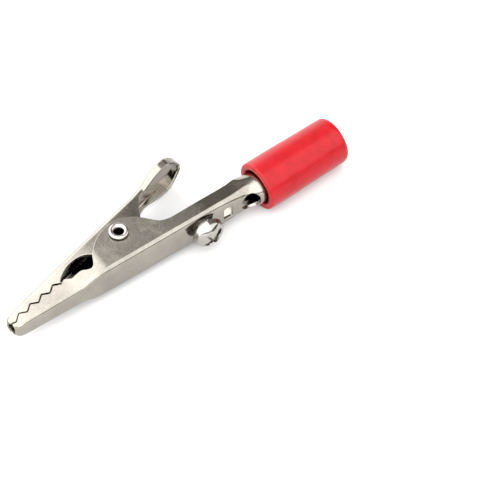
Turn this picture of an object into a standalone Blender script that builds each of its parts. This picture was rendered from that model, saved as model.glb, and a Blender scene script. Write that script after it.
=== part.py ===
"""Alligator test clip with a screw terminal and a push-on insulating sleeve, lying on its side.

The clip is drawn in its own millimetre frame: X runs from the nose to the tail, Y is the way the jaws open, Z is
the pivot's axis, and the origin is at the nose, just inside the lower jaw's web, half way across. One empty
then carries everything to where the clip lies: the middle of its box stands over the world's origin.
"""

import math

import bmesh
import bpy
from mathutils import Matrix, Vector

MM = 0.001

# Sheet metal of both jaws.
SHEET = 0.5
BEND_RADIUS = 0.85
FIT_GAP = 0.05

# Lower jaw: the fixed jaw, a folded channel that runs on into the barrel under the sleeve.
NOSE_TIP = -0.6
NOSE_HALF_WIDTH = 1.9
CHEEK_HALF_WIDTH = 2.95
REAR_HALF_WIDTH = 2.78
BARREL_RADIUS = 2.5
BARREL_END = 50.2
WEB_AT_NOSE = -1.05
WEB_SLOPE = 0.0242
NOSE_LENGTH = 11.5
CHEEK_START = 14.3
CHEEK_MIDDLE = 19.3
CHEEK_END = 24.0
CHANNEL_END = 33.0

# Teeth: one zigzag line, shared by both jaws with a gap between them.
TOOTH_COUNT = 4
TOOTH_PITCH = 2.225
TOOTH_HEIGHT = 0.95
TOOTH_RISE = 1.05
TOOTH_START = Vector((0.45, 0.13))
TOOTH_CLIMB = 0.43
JAW_GAP = 0.16

# Upper jaw: the lever, whose web climbs from the nose and ends in a dished thumb pad.
LEVER_TOP_AT_NOSE = 1.78
LEVER_SLOPE = 0.284
LEVER_HALF_WIDTH = CHEEK_HALF_WIDTH - SHEET - 0.08

# Thumb pad, behind the lever's cheeks: (x, top, half width, corner radius). It widens into an oval dish with a rim.
THUMB_PAD = (
    (25.6, 9.05, 2.33, 0.85),
    (27.4, 9.72, 2.2, 0.85),
    (29.0, 10.36, 2.25, 0.8),
    (30.2, 10.92, 2.5, 0.75),
    (31.4, 11.42, 2.88, 0.75),
    (32.6, 11.76, 3.1, 0.75),
    (33.6, 11.96, 3.1, 0.75),
    (34.5, 12.1, 2.82, 0.7),
    (35.2, 12.15, 2.38, 0.65),
    (35.8, 12.06, 1.78, 0.6),
    (36.25, 11.86, 1.2, 0.5),
    (36.6, 11.55, 0.55, 0.35),
)

# Pivot: a tubular rivet through both pairs of cheeks.
PIVOT = Vector((21.1, 4.2))
RIVET_RADIUS = 1.1
RIVET_BORE = 0.7
RIVET_FLANGE_RADIUS = 1.55
RIVET_FLANGE = 0.45

# Closing spring, wound round the rivet between the lever's cheeks.
WIRE_RADIUS = 0.33
COIL_RADIUS = 1.62
COIL_PITCH = 0.72
COIL_START = math.radians(-103)
COIL_END = math.radians(114 - 360 * 4)

# Terminal screw, through the lower jaw's web.
SCREW_X = 33.05
SCREW_RADIUS = 1.35
SCREW_LENGTH = 3.2
HEAD_LIFT = 1.1
HEAD_RADIUS = 2.5
HEAD_SIDE = 0.75
HEAD_HEIGHT = 2.0
RECESS_ARM = 1.45
RECESS_WIDTH = 0.7
RECESS_DEPTH = 1.1
RECESS_TURN = math.radians(35)
SLOT_DEPTH = 0.65

# Wire slot and wire opening in the web, between the screw and the barrel.
SLOT_X = 37.55
SLOT_LENGTH = 1.5
SLOT_WIDTH = 2.3
WIRE_OPENING_START = 39.9
WIRE_OPENING_END = 42.7
WIRE_OPENING_WIDTH = 3.5

# Insulating sleeve, tilted a little against the channel, as the barrel is.
SLEEVE_START = Vector((43.6, 1.43))
SLEEVE_TILT = math.radians(3.5)
SLEEVE_LENGTH = 14.9
SLEEVE_RADIUS = 3.87
SLEEVE_TAIL_RADIUS = 3.72
SLEEVE_BORE = 2.56
SLEEVE_MOUTH_BORE = 3.05
SLEEVE_WIRE_HOLE = 1.75
SLEEVE_ROUNDING = 0.9

NICKEL = ("nickel_plate", (0.72, 0.70, 0.66), 0.28, 1.0)
BRIGHT_NICKEL = ("bright_nickel", (0.80, 0.79, 0.77), 0.16, 1.0)
SPRING_STEEL = ("spring_steel", (0.20, 0.20, 0.22), 0.35, 1.0)
RED_VINYL = ("red_vinyl", (0.72, 0.03, 0.05), 0.32, 0.0)


def clear_scene():
    for obj in list(bpy.data.objects):
        bpy.data.objects.remove(obj, do_unlink=True)


def material(spec):
    name, colour, roughness, metallic = spec
    made = bpy.data.materials.get(name)
    if made is None:
        made = bpy.data.materials.new(name)
        made.use_nodes = True
        shader = made.node_tree.nodes["Principled BSDF"]
        shader.inputs["Base Color"].default_value = (*colour, 1.0)
        shader.inputs["Roughness"].default_value = roughness
        shader.inputs["Metallic"].default_value = metallic
    return made


def solid(name, bm, spec=None, parent=None):
    """A named object from a closed bmesh in millimetres. Without a material it is a hidden cutter."""
    bmesh.ops.remove_doubles(bm, verts=bm.verts, dist=1e-5)
    bmesh.ops.recalc_face_normals(bm, faces=bm.faces)
    bm.transform(Matrix.Scale(MM, 4))
    mesh = bpy.data.meshes.new(name)
    bm.to_mesh(mesh)
    bm.free()
    obj = bpy.data.objects.new(name, mesh)
    bpy.context.scene.collection.objects.link(obj)
    if spec is None:
        obj.hide_render = True
        obj.display_type = "WIRE"
    else:
        mesh.materials.append(material(spec))
        mesh.shade_smooth()
        mesh.set_sharp_from_angle(angle=math.radians(35))
    if parent is not None:
        obj.parent = parent
    return obj


def boolean(obj, cutter, operation):
    modifier = obj.modifiers.new(f"{operation.lower()} {cutter.name}", "BOOLEAN")
    modifier.operation = operation
    modifier.solver = "EXACT"
    modifier.object = cutter
    return modifier


def loft(rings, closed=False):
    """A closed skin over rings of equal length, capped at both ends unless the rings themselves close."""
    bm = bmesh.new()
    rows = [[bm.verts.new(point) for point in ring] for ring in rings]
    pairs = list(zip(rows, rows[1:]))
    if closed:
        pairs.append((rows[-1], rows[0]))
    for near, far in pairs:
        count = len(near)
        for i in range(count):
            j = (i + 1) % count
            bm.faces.new((near[i], near[j], far[j], far[i]))
    if not closed:
        bm.faces.new(rows[0])
        bm.faces.new(reversed(rows[-1]))
    return bm


def arc(centre, radius, start, end, steps):
    """Points of a circular arc between two angles in degrees, both ends included."""
    angles = [math.radians(start + (end - start) * i / steps) for i in range(steps + 1)]
    return [Vector((centre[0] + radius * math.cos(a), centre[1] + radius * math.sin(a))) for a in angles]


def smooth_path(points, steps):
    """A Catmull-Rom curve through the points, which bends without corners."""
    ends = [points[0] * 2 - points[1], *points, points[-1] * 2 - points[-2]]
    path = []
    for a, b, c, d in zip(ends, ends[1:], ends[2:], ends[3:]):
        for i in range(steps):
            t = i / steps
            path.append(
                (b * 2 + (c - a) * t + (a * 2 - b * 5 + c * 4 - d) * t**2 + (b * 3 - a - c * 3 + d) * t**3) / 2
            )
    path.append(points[-1])
    return path


def channel_ring(x, low, high, half_width, low_radius, high_radius, steps=4):
    """One cross-section of a folded channel: a rectangle with rounded corners, across X."""
    corners = (
        (half_width - low_radius, low + low_radius, low_radius, -90, 0),
        (half_width - high_radius, high - high_radius, high_radius, 0, 90),
        (high_radius - half_width, high - high_radius, high_radius, 90, 180),
        (low_radius - half_width, low + low_radius, low_radius, 180, 270),
    )
    ring = []
    for z, y, radius, start, end in corners:
        ring += [Vector((x, point.y, point.x)) for point in arc((z, y), radius, start, end, steps)]
    return ring


def inset_station(station, amount, low_open=False, high_open=False):
    """The same cross-section, one sheet thickness further in, so that it cuts the channel's hollow."""
    x, low, high, half_width, low_radius, high_radius = station
    low = low - 1 if low_open else low + amount
    high = high + 1 if high_open else high - amount
    return (
        x,
        low,
        high,
        half_width - amount,
        max(low_radius - amount, 0.15),
        max(high_radius - amount, 0.15),
    )


def extrude_outline(outline, half_depth, middle=0.0):
    """A prism along Z over an outline in XY."""
    rings = [[Vector((p.x, p.y, middle + side)) for p in outline] for side in (-half_depth, half_depth)]
    return loft(rings)


def cylinder(centre, axis, radius, length, segments=32):
    """A closed cylinder, from its centre, along any axis."""
    bm = bmesh.new()
    turn = Vector(axis).normalized().to_track_quat("Z", "Y").to_matrix().to_4x4()
    bmesh.ops.create_cone(
        bm,
        cap_ends=True,
        segments=segments,
        radius1=radius,
        radius2=radius,
        depth=length,
        matrix=Matrix.Translation(centre) @ turn,
    )
    return bm


def turned(profile, segments, matrix):
    """A closed solid of revolution about Z from (radius, z) points, which close on themselves or on the axis."""
    rings = []
    for i in range(segments):
        angle = 2 * math.pi * i / segments
        rings.append([matrix @ Vector((r * math.cos(angle), r * math.sin(angle), z)) for r, z in profile])
    return loft(rings, closed=True)


def sleeve_axis_height(x):
    return SLEEVE_START.y + (x - SLEEVE_START.x) * math.tan(SLEEVE_TILT)


def web_height(x):
    """Height of the lower web's outer face, which is one straight line from the nose to the wire slot."""
    return WEB_AT_NOSE + WEB_SLOPE * x


def lever_top(x):
    return LEVER_TOP_AT_NOSE + LEVER_SLOPE * x


def nose_widths():
    """(x, half width) from the tip: both noses are rounded across as well as in side view."""
    rounding = ((0.0, 0.75), (0.25, 1.18), (0.7, 1.5), (1.4, 1.75), (2.4, 1.9), (3.4, NOSE_HALF_WIDTH))
    return [(NOSE_TIP + distance, half_width) for distance, half_width in rounding]


def tooth_line():
    """The zigzag where the jaws meet, from the nose to the wire mouth."""
    line = [TOOTH_START + Vector((TOOTH_RISE - TOOTH_PITCH, TOOTH_HEIGHT - TOOTH_CLIMB))]
    for i in range(TOOTH_COUNT):
        root = TOOTH_START + Vector((TOOTH_PITCH * i, TOOTH_CLIMB * i))
        line += [root, root + Vector((TOOTH_RISE, TOOTH_HEIGHT))]
    line.append(TOOTH_START + Vector((TOOTH_PITCH, TOOTH_CLIMB)) * TOOTH_COUNT)
    return line


def lower_jaw_stations():
    """(x, low, high, half width, low corner, high corner) along the lower jaw. High edges stand clear of the cheeks."""
    clear = 9.0
    stations = [
        (x, web_height(x), clear, half_width, min(half_width - 0.05, BEND_RADIUS), 0.6)
        for x, half_width in nose_widths()
    ]
    stations.append((NOSE_LENGTH, web_height(NOSE_LENGTH), clear, NOSE_HALF_WIDTH, BEND_RADIUS, 0.8))
    jog = CHEEK_START - NOSE_LENGTH
    for t in (0.25, 0.5, 0.75, 1.0):
        ease = t * t * (3 - 2 * t)
        x = NOSE_LENGTH + jog * t
        half_width = NOSE_HALF_WIDTH + (CHEEK_HALF_WIDTH - NOSE_HALF_WIDTH) * ease
        stations.append((x, web_height(x), clear, half_width, BEND_RADIUS, 0.8))
    stations += [
        (CHEEK_MIDDLE, web_height(CHEEK_MIDDLE), clear, CHEEK_HALF_WIDTH, BEND_RADIUS, 0.8),
        (CHEEK_END, web_height(CHEEK_END), clear, CHEEK_HALF_WIDTH, BEND_RADIUS, 0.8),
        (CHANNEL_END, web_height(CHANNEL_END), clear, REAR_HALF_WIDTH, BEND_RADIUS, 0.8),
        (37.0, web_height(37.0), 6.5, 2.62, 1.0, 1.1),
        (39.2, -0.16, 4.9, 2.52, 1.3, 1.5),
        (40.4, -0.25, 4.4, 2.5, 1.6, 1.8),
        (41.4, -0.5, 4.0, 2.5, 2.0, 2.1),
        (42.3, -0.85, 3.92, 2.5, 2.35, 2.35),
    ]
    for x in (43.2, BARREL_END):
        middle = sleeve_axis_height(x)
        radius = BARREL_RADIUS
        stations.append((x, middle - radius, middle + radius, radius, radius - 0.01, radius - 0.01))
    return stations


def lower_jaw_outline():
    """Side view of the lower jaw: nose, teeth, wire mouth, cheeks, channel edge and barrel."""
    gap = Vector((0, -JAW_GAP / 2))
    nose = arc((1.0, 0.25), 1.28, 268, 181, 7)
    teeth = [p + gap for p in tooth_line()]
    teeth[0] = teeth[0].lerp(teeth[1], 0.45)
    mouth = [Vector(p) for p in ((9.9, 2.1), (10.4, 1.95), (11.2, 1.66), (12.6, 1.7), (13.9, 1.2))]
    cheek = smooth_path(
        [
            Vector(p)
            for p in (
                (14.6, 1.35),
                (15.45, 2.2),
                (16.3, 3.7),
                (17.6, 4.95),
                (19.2, 5.8),
                (21.2, 6.3),
                (22.8, 6.15),
                (24.1, 5.6),
                (25.4, 4.6),
                (26.5, 3.25),
                (27.3, 2.45),
                (28.6, 2.22),
            )
        ],
        3,
    )
    edge = [Vector(p) for p in ((33.0, 2.4), (37.5, 2.62), (39.4, 2.85), (41.1, 3.25), (42.2, 3.65), (42.9, 4.2))]
    tail = [Vector((43.1, 8.0)), Vector((BARREL_END + 1, 8.0)), Vector((BARREL_END + 1, -3.0)), Vector((0.955, -3.0))]
    return nose + teeth + mouth + cheek + edge + tail


def slot_cutter(name, start, end, width, corner):
    """A rounded opening through the web, from outside to just above the web."""
    half = width / 2 - corner
    corners = (
        ((end - corner, half), 0, 90),
        ((start + corner, half), 90, 180),
        ((start + corner, -half), 180, 270),
        ((end - corner, -half), 270, 360),
    )
    outline = []
    for centre, first, last in corners:
        outline += arc(centre, corner, first, last, 4)
    rings = [[Vector((p.x, y, p.y)) for p in outline] for y in (-2.0, 1.2)]
    return solid(name, loft(rings))


def build_lower_jaw(frame):
    stations = lower_jaw_stations()
    body = solid("lower_jaw", loft([channel_ring(*s) for s in stations]), NICKEL, frame)
    inner = [inset_station(s, SHEET, high_open=s[2] > 6) for s in stations[1:]]
    inner[0] = (NOSE_TIP + SHEET + 0.25, *inner[0][1:])
    inner[-1] = (BARREL_END + 0.5, *inner[-1][1:])
    cutters = [
        (solid("cut_lower_outline", extrude_outline(lower_jaw_outline(), 4.0)), "INTERSECT"),
        (solid("cut_lower_hollow", loft([channel_ring(*s) for s in inner])), "DIFFERENCE"),
        (
            solid("cut_lower_pivot", cylinder((*PIVOT, 0), (0, 0, 1), RIVET_RADIUS + FIT_GAP, 8, 24)),
            "DIFFERENCE",
        ),
        (
            solid("cut_screw_hole", cylinder((SCREW_X, 0, 0), (0, 1, 0), SCREW_RADIUS + FIT_GAP, 3, 24)),
            "DIFFERENCE",
        ),
        (
            slot_cutter(
                "cut_wire_slot", SLOT_X - SLOT_LENGTH / 2, SLOT_X + SLOT_LENGTH / 2, SLOT_WIDTH, 0.45
            ),
            "DIFFERENCE",
        ),
        (
            slot_cutter("cut_wire_opening", WIRE_OPENING_START, WIRE_OPENING_END, WIRE_OPENING_WIDTH, 1.35),
            "DIFFERENCE",
        ),
        (solid("cut_barrel_seam", barrel_seam()), "DIFFERENCE"),
    ]
    for cutter, operation in cutters:
        cutter.parent = frame
        boolean(body, cutter, operation)
    return body


def barrel_seam():
    """The slit along the top of the barrel, where the two walls come round towards each other."""
    outline = [Vector(p) for p in ((38.0, 2.6), (40.8, 2.1), (42.4, 0.9), (43.4, 0.35), (BARREL_END + 1, 0.35))]
    outline += [Vector((p.x, -p.y)) for p in reversed(outline)]
    rings = [[Vector((p.x, y, p.y)) for p in outline] for y in (2.4, 9.0)]
    return loft(rings)


def upper_jaw_stations():
    deep = -4.0
    stations = [
        (x, deep, lever_top(x), half_width, 0.3, min(half_width - 0.05, BEND_RADIUS))
        for x, half_width in nose_widths()
    ]
    stations += [
        (x, deep, lever_top(x), half_width, 0.3, BEND_RADIUS)
        for x, half_width in ((10.8, NOSE_HALF_WIDTH), (14.0, LEVER_HALF_WIDTH), (23.5, LEVER_HALF_WIDTH))
    ]
    stations += [(x, deep, top, half_width, 0.3, radius) for x, top, half_width, radius in THUMB_PAD]
    return stations


def upper_jaw_outline():
    """Side view of the lever: nose, teeth, wire mouth, cheeks inside the channel, and the thumb pad's rim."""
    gap = Vector((0, JAW_GAP / 2))
    nose = arc((0.62, 0.9), 0.97, 130, 180, 5)
    teeth = [p + gap for p in tooth_line()]
    teeth[0] = teeth[0].lerp(teeth[1], 0.3)
    mouth = smooth_path(
        [Vector(p) for p in ((9.75, 2.15), (10.6, 2.95), (12.0, 3.75), (13.6, 4.2), (15.1, 4.0), (16.3, 3.2))],
        3,
    )
    cheek = smooth_path(
        [Vector(p) for p in ((17.1, 2.1), (18.6, 1.35), (20.6, 1.05), (22.6, 1.45), (24.2, 2.7))], 3
    )
    rear = smooth_path([Vector(p) for p in ((25.4, 4.8), (26.3, 6.4), (26.85, 7.5), (27.5, 8.25), (28.4, 8.8))], 2)
    rim = [Vector(p) for p in ((29.8, 9.3), (31.4, 9.8), (33.0, 10.2), (34.6, 10.55), (36.0, 10.88), (37.4, 11.1))]
    top = [Vector((37.4, 14.0)), Vector((0.0, 14.0))]
    return nose + teeth + mouth + cheek + rear + rim + top


def build_upper_jaw(parent):
    stations = upper_jaw_stations()
    body = solid("upper_jaw", loft([channel_ring(*s) for s in stations]), NICKEL, parent)
    inner = [inset_station(s, SHEET, low_open=True) for s in stations[1:]]
    inner[0] = (NOSE_TIP + SHEET + 0.25, *inner[0][1:])
    inner = inner[:-3] + [(36.15, *inner[-2][1:])]
    cutters = [
        (solid("cut_upper_outline", extrude_outline(upper_jaw_outline(), 4.0)), "INTERSECT"),
        (solid("cut_upper_hollow", loft([channel_ring(*s) for s in inner])), "DIFFERENCE"),
        (
            solid("cut_upper_pivot", cylinder((*PIVOT, 0), (0, 0, 1), RIVET_RADIUS + 2 * FIT_GAP, 8, 24)),
            "DIFFERENCE",
        ),
    ]
    for cutter, operation in cutters:
        cutter.parent = parent
        boolean(body, cutter, operation)
    return body


def build_rivet(frame):
    """Tubular rivet: a plain bore through it, and a flange rolled outwards at both ends."""
    half = CHEEK_HALF_WIDTH + 0.03
    rim = half + RIVET_FLANGE
    roll = arc((RIVET_FLANGE_RADIUS - 0.3, half + 0.22), 0.28, -40, 90, 5)
    upper = [
        Vector((RIVET_RADIUS, half)),
        *roll[:-1],
        Vector((1.1, rim)),
        Vector((0.86, rim - 0.03)),
        Vector((RIVET_BORE, rim - 0.2)),
    ]
    lower = [Vector((p.x, -p.y)) for p in reversed(upper)]
    profile = [(p.x, p.y) for p in upper + lower]
    place = Matrix.Translation((*PIVOT, 0))
    return solid("pivot_rivet", turned(profile, 32, place), BRIGHT_NICKEL, frame)


def spring_path():
    """One leg along the lower web, the coil round the rivet, and the other leg under the lever's web."""
    turn = COIL_END - COIL_START
    half = COIL_PITCH * abs(turn) / (4 * math.pi)
    steps = 64
    coil = []
    for i in range(steps + 1):
        t = i / steps
        angle = COIL_START + turn * t
        x = PIVOT.x + COIL_RADIUS * math.cos(angle)
        y = PIVOT.y + COIL_RADIUS * math.sin(angle)
        coil.append(Vector((x, y, -half + 2 * half * t)))
    lower_leg = [
        Vector((29.8, 0.6, -half + 0.3)),
        Vector((28.2, 0.64, -half + 0.25)),
        Vector((26.4, 1.2, -half + 0.1)),
        Vector((24.0, 1.98, -half)),
    ]
    upper_leg = [Vector((23.4, 7.0, half)), Vector((25.6, 7.95, half - 0.1)), Vector((27.2, 8.55, half - 0.3))]
    return lower_leg + coil + upper_leg


def tube(points, radius, sides):
    """A closed round tube along points, its ring turned as little as possible from each point to the next."""
    rings = []
    normal = Vector((0, 0, 1))
    for i, point in enumerate(points):
        ahead = (points[min(i + 1, len(points) - 1)] - points[max(i - 1, 0)]).normalized()
        normal = (normal - ahead * normal.dot(ahead)).normalized()
        other = ahead.cross(normal)
        ring = []
        for k in range(sides):
            angle = 2 * math.pi * k / sides
            ring.append(point + (normal * math.cos(angle) + other * math.sin(angle)) * radius)
        rings.append(ring)
    return loft(rings)


def build_spring(frame):
    return solid("torsion_spring", tube(spring_path(), WIRE_RADIUS, 8), SPRING_STEEL, frame)


def build_screw(frame):
    """Pan-head terminal screw with a cross recess and one slot run out to the rim."""
    top = HEAD_HEIGHT
    dome_radius = (HEAD_RADIUS**2 + (top - HEAD_SIDE) ** 2) / (2 * (top - HEAD_SIDE))
    dome_centre = top - dome_radius
    edge = math.degrees(math.asin((HEAD_SIDE - dome_centre) / dome_radius))
    dome = [(p.x, p.y) for p in arc((0, dome_centre), dome_radius, edge, 90, 6)]
    profile = [
        (0, -SCREW_LENGTH),
        (SCREW_RADIUS - 0.35, -SCREW_LENGTH),
        (SCREW_RADIUS, -SCREW_LENGTH + 0.4),
        (SCREW_RADIUS, 0),
        (HEAD_RADIUS, 0),
        *dome,
    ]
    place = Matrix.Translation((SCREW_X, -HEAD_LIFT, 0)) @ Matrix.Rotation(math.radians(90), 4, "X")
    body = solid("terminal_screw", turned_solid(profile, 36, place), BRIGHT_NICKEL, frame)
    recess = place @ Matrix.Rotation(RECESS_TURN, 4, "Z")
    arm, half = RECESS_ARM, RECESS_WIDTH / 2
    quarter = [Vector((arm, -half)), Vector((arm, half)), Vector((half, half))]
    cross = [Matrix.Rotation(math.radians(90 * i), 2) @ p for i in range(4) for p in quarter]
    slot = [Vector(p) for p in ((4, -half + 0.06), (4, half - 0.06), (-4, half - 0.06), (-4, -half + 0.06))]
    for name, outline, depth in (("cross", cross, RECESS_DEPTH), ("slot", slot, SLOT_DEPTH)):
        bm = loft([[Vector((p.x, p.y, z)) for p in outline] for z in (top - depth, top + 1)])
        bm.transform(recess)
        cutter = solid(f"cut_screw_recess_{name}", bm)
        cutter.parent = frame
        boolean(body, cutter, "DIFFERENCE")
    return body


def turned_solid(profile, segments, matrix):
    """A closed solid of revolution whose profile starts and ends on the axis."""
    bm = bmesh.new()
    ends = [bm.verts.new(matrix @ Vector((0, 0, z))) for _, z in (profile[0], profile[-1])]
    rings = []
    for radius, z in profile[1:-1]:
        ring = []
        for i in range(segments):
            angle = 2 * math.pi * i / segments
            ring.append(bm.verts.new(matrix @ Vector((radius * math.cos(angle), radius * math.sin(angle), z))))
        rings.append(ring)
    for i in range(segments):
        j = (i + 1) % segments
        bm.faces.new((ends[0], rings[0][j], rings[0][i]))
        bm.faces.new((ends[1], rings[-1][i], rings[-1][j]))
        for near, far in zip(rings, rings[1:]):
            bm.faces.new((near[i], near[j], far[j], far[i]))
    return bm


def sleeve_matrix():
    """The sleeve's own axis is Z, from its mouth. It points along X, lifted by the tilt."""
    direction = Vector((math.cos(SLEEVE_TILT), math.sin(SLEEVE_TILT), 0))
    turn = direction.to_track_quat("Z", "Y").to_matrix().to_4x4()
    return Matrix.Translation((*SLEEVE_START, 0)) @ turn


def build_sleeve(parent):
    """Moulded sleeve: an open, rounded mouth over the barrel, and a rounded tail with a hole for the lead."""
    end = SLEEVE_LENGTH
    tail = arc((SLEEVE_TAIL_RADIUS - SLEEVE_ROUNDING, end - SLEEVE_ROUNDING), SLEEVE_ROUNDING, 0, 90, 5)
    profile = [
        (SLEEVE_MOUTH_BORE, 0.15),
        (SLEEVE_MOUTH_BORE + 0.15, 0.0),
        (SLEEVE_RADIUS - 0.3, 0.0),
        (SLEEVE_RADIUS - 0.08, 0.09),
        (SLEEVE_RADIUS, 0.3),
        *[(p.x, p.y) for p in tail],
        (SLEEVE_WIRE_HOLE + 0.15, end),
        (SLEEVE_WIRE_HOLE, end - 0.15),
        (SLEEVE_WIRE_HOLE, end - 1.4),
        (SLEEVE_BORE, end - 2.2),
        (SLEEVE_BORE, 3.2),
        (SLEEVE_MOUTH_BORE, 2.2),
    ]
    return solid("insulating_sleeve", turned(profile, 48, sleeve_matrix()), RED_VINYL, parent)


def joint_empty(name, location, parent):
    empty = bpy.data.objects.new(name, None)
    bpy.context.scene.collection.objects.link(empty)
    empty.location = Vector(location) * MM
    empty.parent = parent
    return empty


def to_joint(obj, empty):
    """Hangs an object on its joint's empty without moving it, so that the empty lies on the joint's axis."""
    obj.parent = empty
    obj.matrix_parent_inverse = Matrix.Translation(-empty.location)


def settle(frame, nodes):
    """Puts the middle of the clip's box over the world's origin, with its lowest point at z = 0."""
    bpy.context.view_layer.update()
    graph = bpy.context.evaluated_depsgraph_get()
    corners = []
    for node in nodes:
        made = node.evaluated_get(graph)
        corners += [made.matrix_world @ vertex.co for vertex in made.data.vertices]
    low = Vector([min(c[k] for c in corners) for k in range(3)])
    high = Vector([max(c[k] for c in corners) for k in range(3)])
    frame.location = Vector((-(low.x + high.x) / 2, -(low.y + high.y) / 2, -low.z))


def main():
    clear_scene()
    frame = bpy.data.objects.new("clip_frame", None)
    bpy.context.scene.collection.objects.link(frame)
    pivot = joint_empty("jaw_pivot_axis", (*PIVOT, 0), frame)
    screw_axis = joint_empty("terminal_screw_axis", (SCREW_X, 0, 0), frame)
    sleeve_axis = joint_empty("sleeve_axis", (*SLEEVE_START, 0), frame)
    lower = build_lower_jaw(frame)
    upper = build_upper_jaw(frame)
    rivet = build_rivet(frame)
    spring = build_spring(frame)
    screw = build_screw(frame)
    sleeve = build_sleeve(frame)
    for obj in bpy.data.objects:
        if obj == upper or obj.name.startswith("cut_upper"):
            to_joint(obj, pivot)
        if obj == screw or obj.name.startswith("cut_screw_recess"):
            to_joint(obj, screw_axis)
    to_joint(sleeve, sleeve_axis)
    settle(frame, [lower, upper, rivet, spring, screw, sleeve])
    bpy.context.view_layer.update()
    for axis in (frame, pivot, screw_axis, sleeve_axis):
        print(axis.name, [round(v, 6) for v in axis.matrix_world.translation])


main()
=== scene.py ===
"""Looks of an alligator test clip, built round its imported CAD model.

Shapes are drawn in the clip's own millimetre frame: X from the nose to the tail, Y the way the jaws open, Z
along the pivot. Both jaws are folded from a flat blank: an outline in (t, s), with t along the web and s
across the fold, is filled with triangles and then wrapped round the fold.
"""

import math

import bpy
import numpy as np
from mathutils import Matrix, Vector
from mathutils.geometry import delaunay_2d_cdt


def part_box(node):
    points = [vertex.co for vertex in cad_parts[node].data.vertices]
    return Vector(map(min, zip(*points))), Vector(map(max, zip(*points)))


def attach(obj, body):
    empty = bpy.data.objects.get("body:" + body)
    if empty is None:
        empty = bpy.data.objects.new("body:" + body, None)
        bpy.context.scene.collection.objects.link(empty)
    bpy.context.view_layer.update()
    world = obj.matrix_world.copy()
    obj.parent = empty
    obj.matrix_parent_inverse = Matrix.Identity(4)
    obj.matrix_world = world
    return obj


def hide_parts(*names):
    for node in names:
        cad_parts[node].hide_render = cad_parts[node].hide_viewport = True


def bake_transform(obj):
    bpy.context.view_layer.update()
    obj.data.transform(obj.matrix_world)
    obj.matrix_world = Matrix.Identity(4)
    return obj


MM = 0.001

# Both jaws' sheet, and the rounding of its cut edges.
SHEET = 0.5
EDGE_ROUNDING = 0.1

# Places that the pieces share, in clip millimetres.
PIVOT = (21.1, 4.2)
SCREW_X = 33.05
HEAD_LIFT = 1.1
SLEEVE_START = (43.6, 1.43)
SLEEVE_TILT = math.radians(3.5)
BARREL_MOUTH = 42.2
BARREL_END = 50.2
BARREL_RADIUS = 2.5
SEAM_HALF_WIDTH = 0.16
JAW_GAP = 0.16

# The camera looks at VIEW_CENTRE from far off, so that VIEW_WIDTH millimetres fill the picture.
VIEW_AZIMUTH = math.radians(-34.8)
VIEW_ELEVATION = math.radians(52.9)
VIEW_CENTRE = (36.2, -7.6, 0.0)
VIEW_WIDTH = 73.0
CAMERA_DISTANCE = 0.6
SENSOR_WIDTH = 36.0

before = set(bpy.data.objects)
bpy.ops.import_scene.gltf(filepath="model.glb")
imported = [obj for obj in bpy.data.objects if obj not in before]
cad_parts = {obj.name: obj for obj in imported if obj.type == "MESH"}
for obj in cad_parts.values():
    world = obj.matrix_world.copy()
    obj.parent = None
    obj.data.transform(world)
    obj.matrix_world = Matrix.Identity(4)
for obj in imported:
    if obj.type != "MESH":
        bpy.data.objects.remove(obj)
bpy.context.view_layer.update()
rivet_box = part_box("pivot_rivet")
ORIGIN = (Vector(rivet_box[0]) + Vector(rivet_box[1])) / 2 - Vector((*PIVOT, 0)) * MM


def to_world(points):
    """Clip millimetres to world metres."""
    return np.asarray(points, float) * MM + np.array(ORIGIN)


def aim(obj, target):
    """Turns a camera or a light towards a place in the world."""
    way = Vector(target) - obj.location
    obj.rotation_mode = "QUATERNION"
    obj.rotation_quaternion = way.to_track_quat("-Z", "Y")


# Camera ------------------------------------------------------------------------------------------


def make_camera():
    data = bpy.data.cameras.new("camera")
    data.sensor_width = SENSOR_WIDTH
    data.lens = SENSOR_WIDTH * CAMERA_DISTANCE / (VIEW_WIDTH * MM)
    data.clip_start = 0.05
    data.clip_end = 10.0
    camera = bpy.data.objects.new("camera", data)
    bpy.context.scene.collection.objects.link(camera)
    flat = math.cos(VIEW_ELEVATION)
    back = Vector((math.sin(VIEW_AZIMUTH) * flat, -math.cos(VIEW_AZIMUTH) * flat, math.sin(VIEW_ELEVATION)))
    centre = Vector(to_world(VIEW_CENTRE))
    camera.location = centre + back * CAMERA_DISTANCE
    aim(camera, centre)
    bpy.context.scene.camera = camera


# Materials ---------------------------------------------------------------------------------------


def put_node(tree, kind, values=(), **settings):
    """A new node. Each value is a constant for a socket, or the socket that feeds it."""
    node = tree.nodes.new(kind)
    for key, value in settings.items():
        setattr(node, key, value)
    for socket, value in dict(values).items():
        if isinstance(value, bpy.types.NodeSocket):
            tree.links.new(value, node.inputs[socket])
        else:
            node.inputs[socket].default_value = value
    return node


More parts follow.
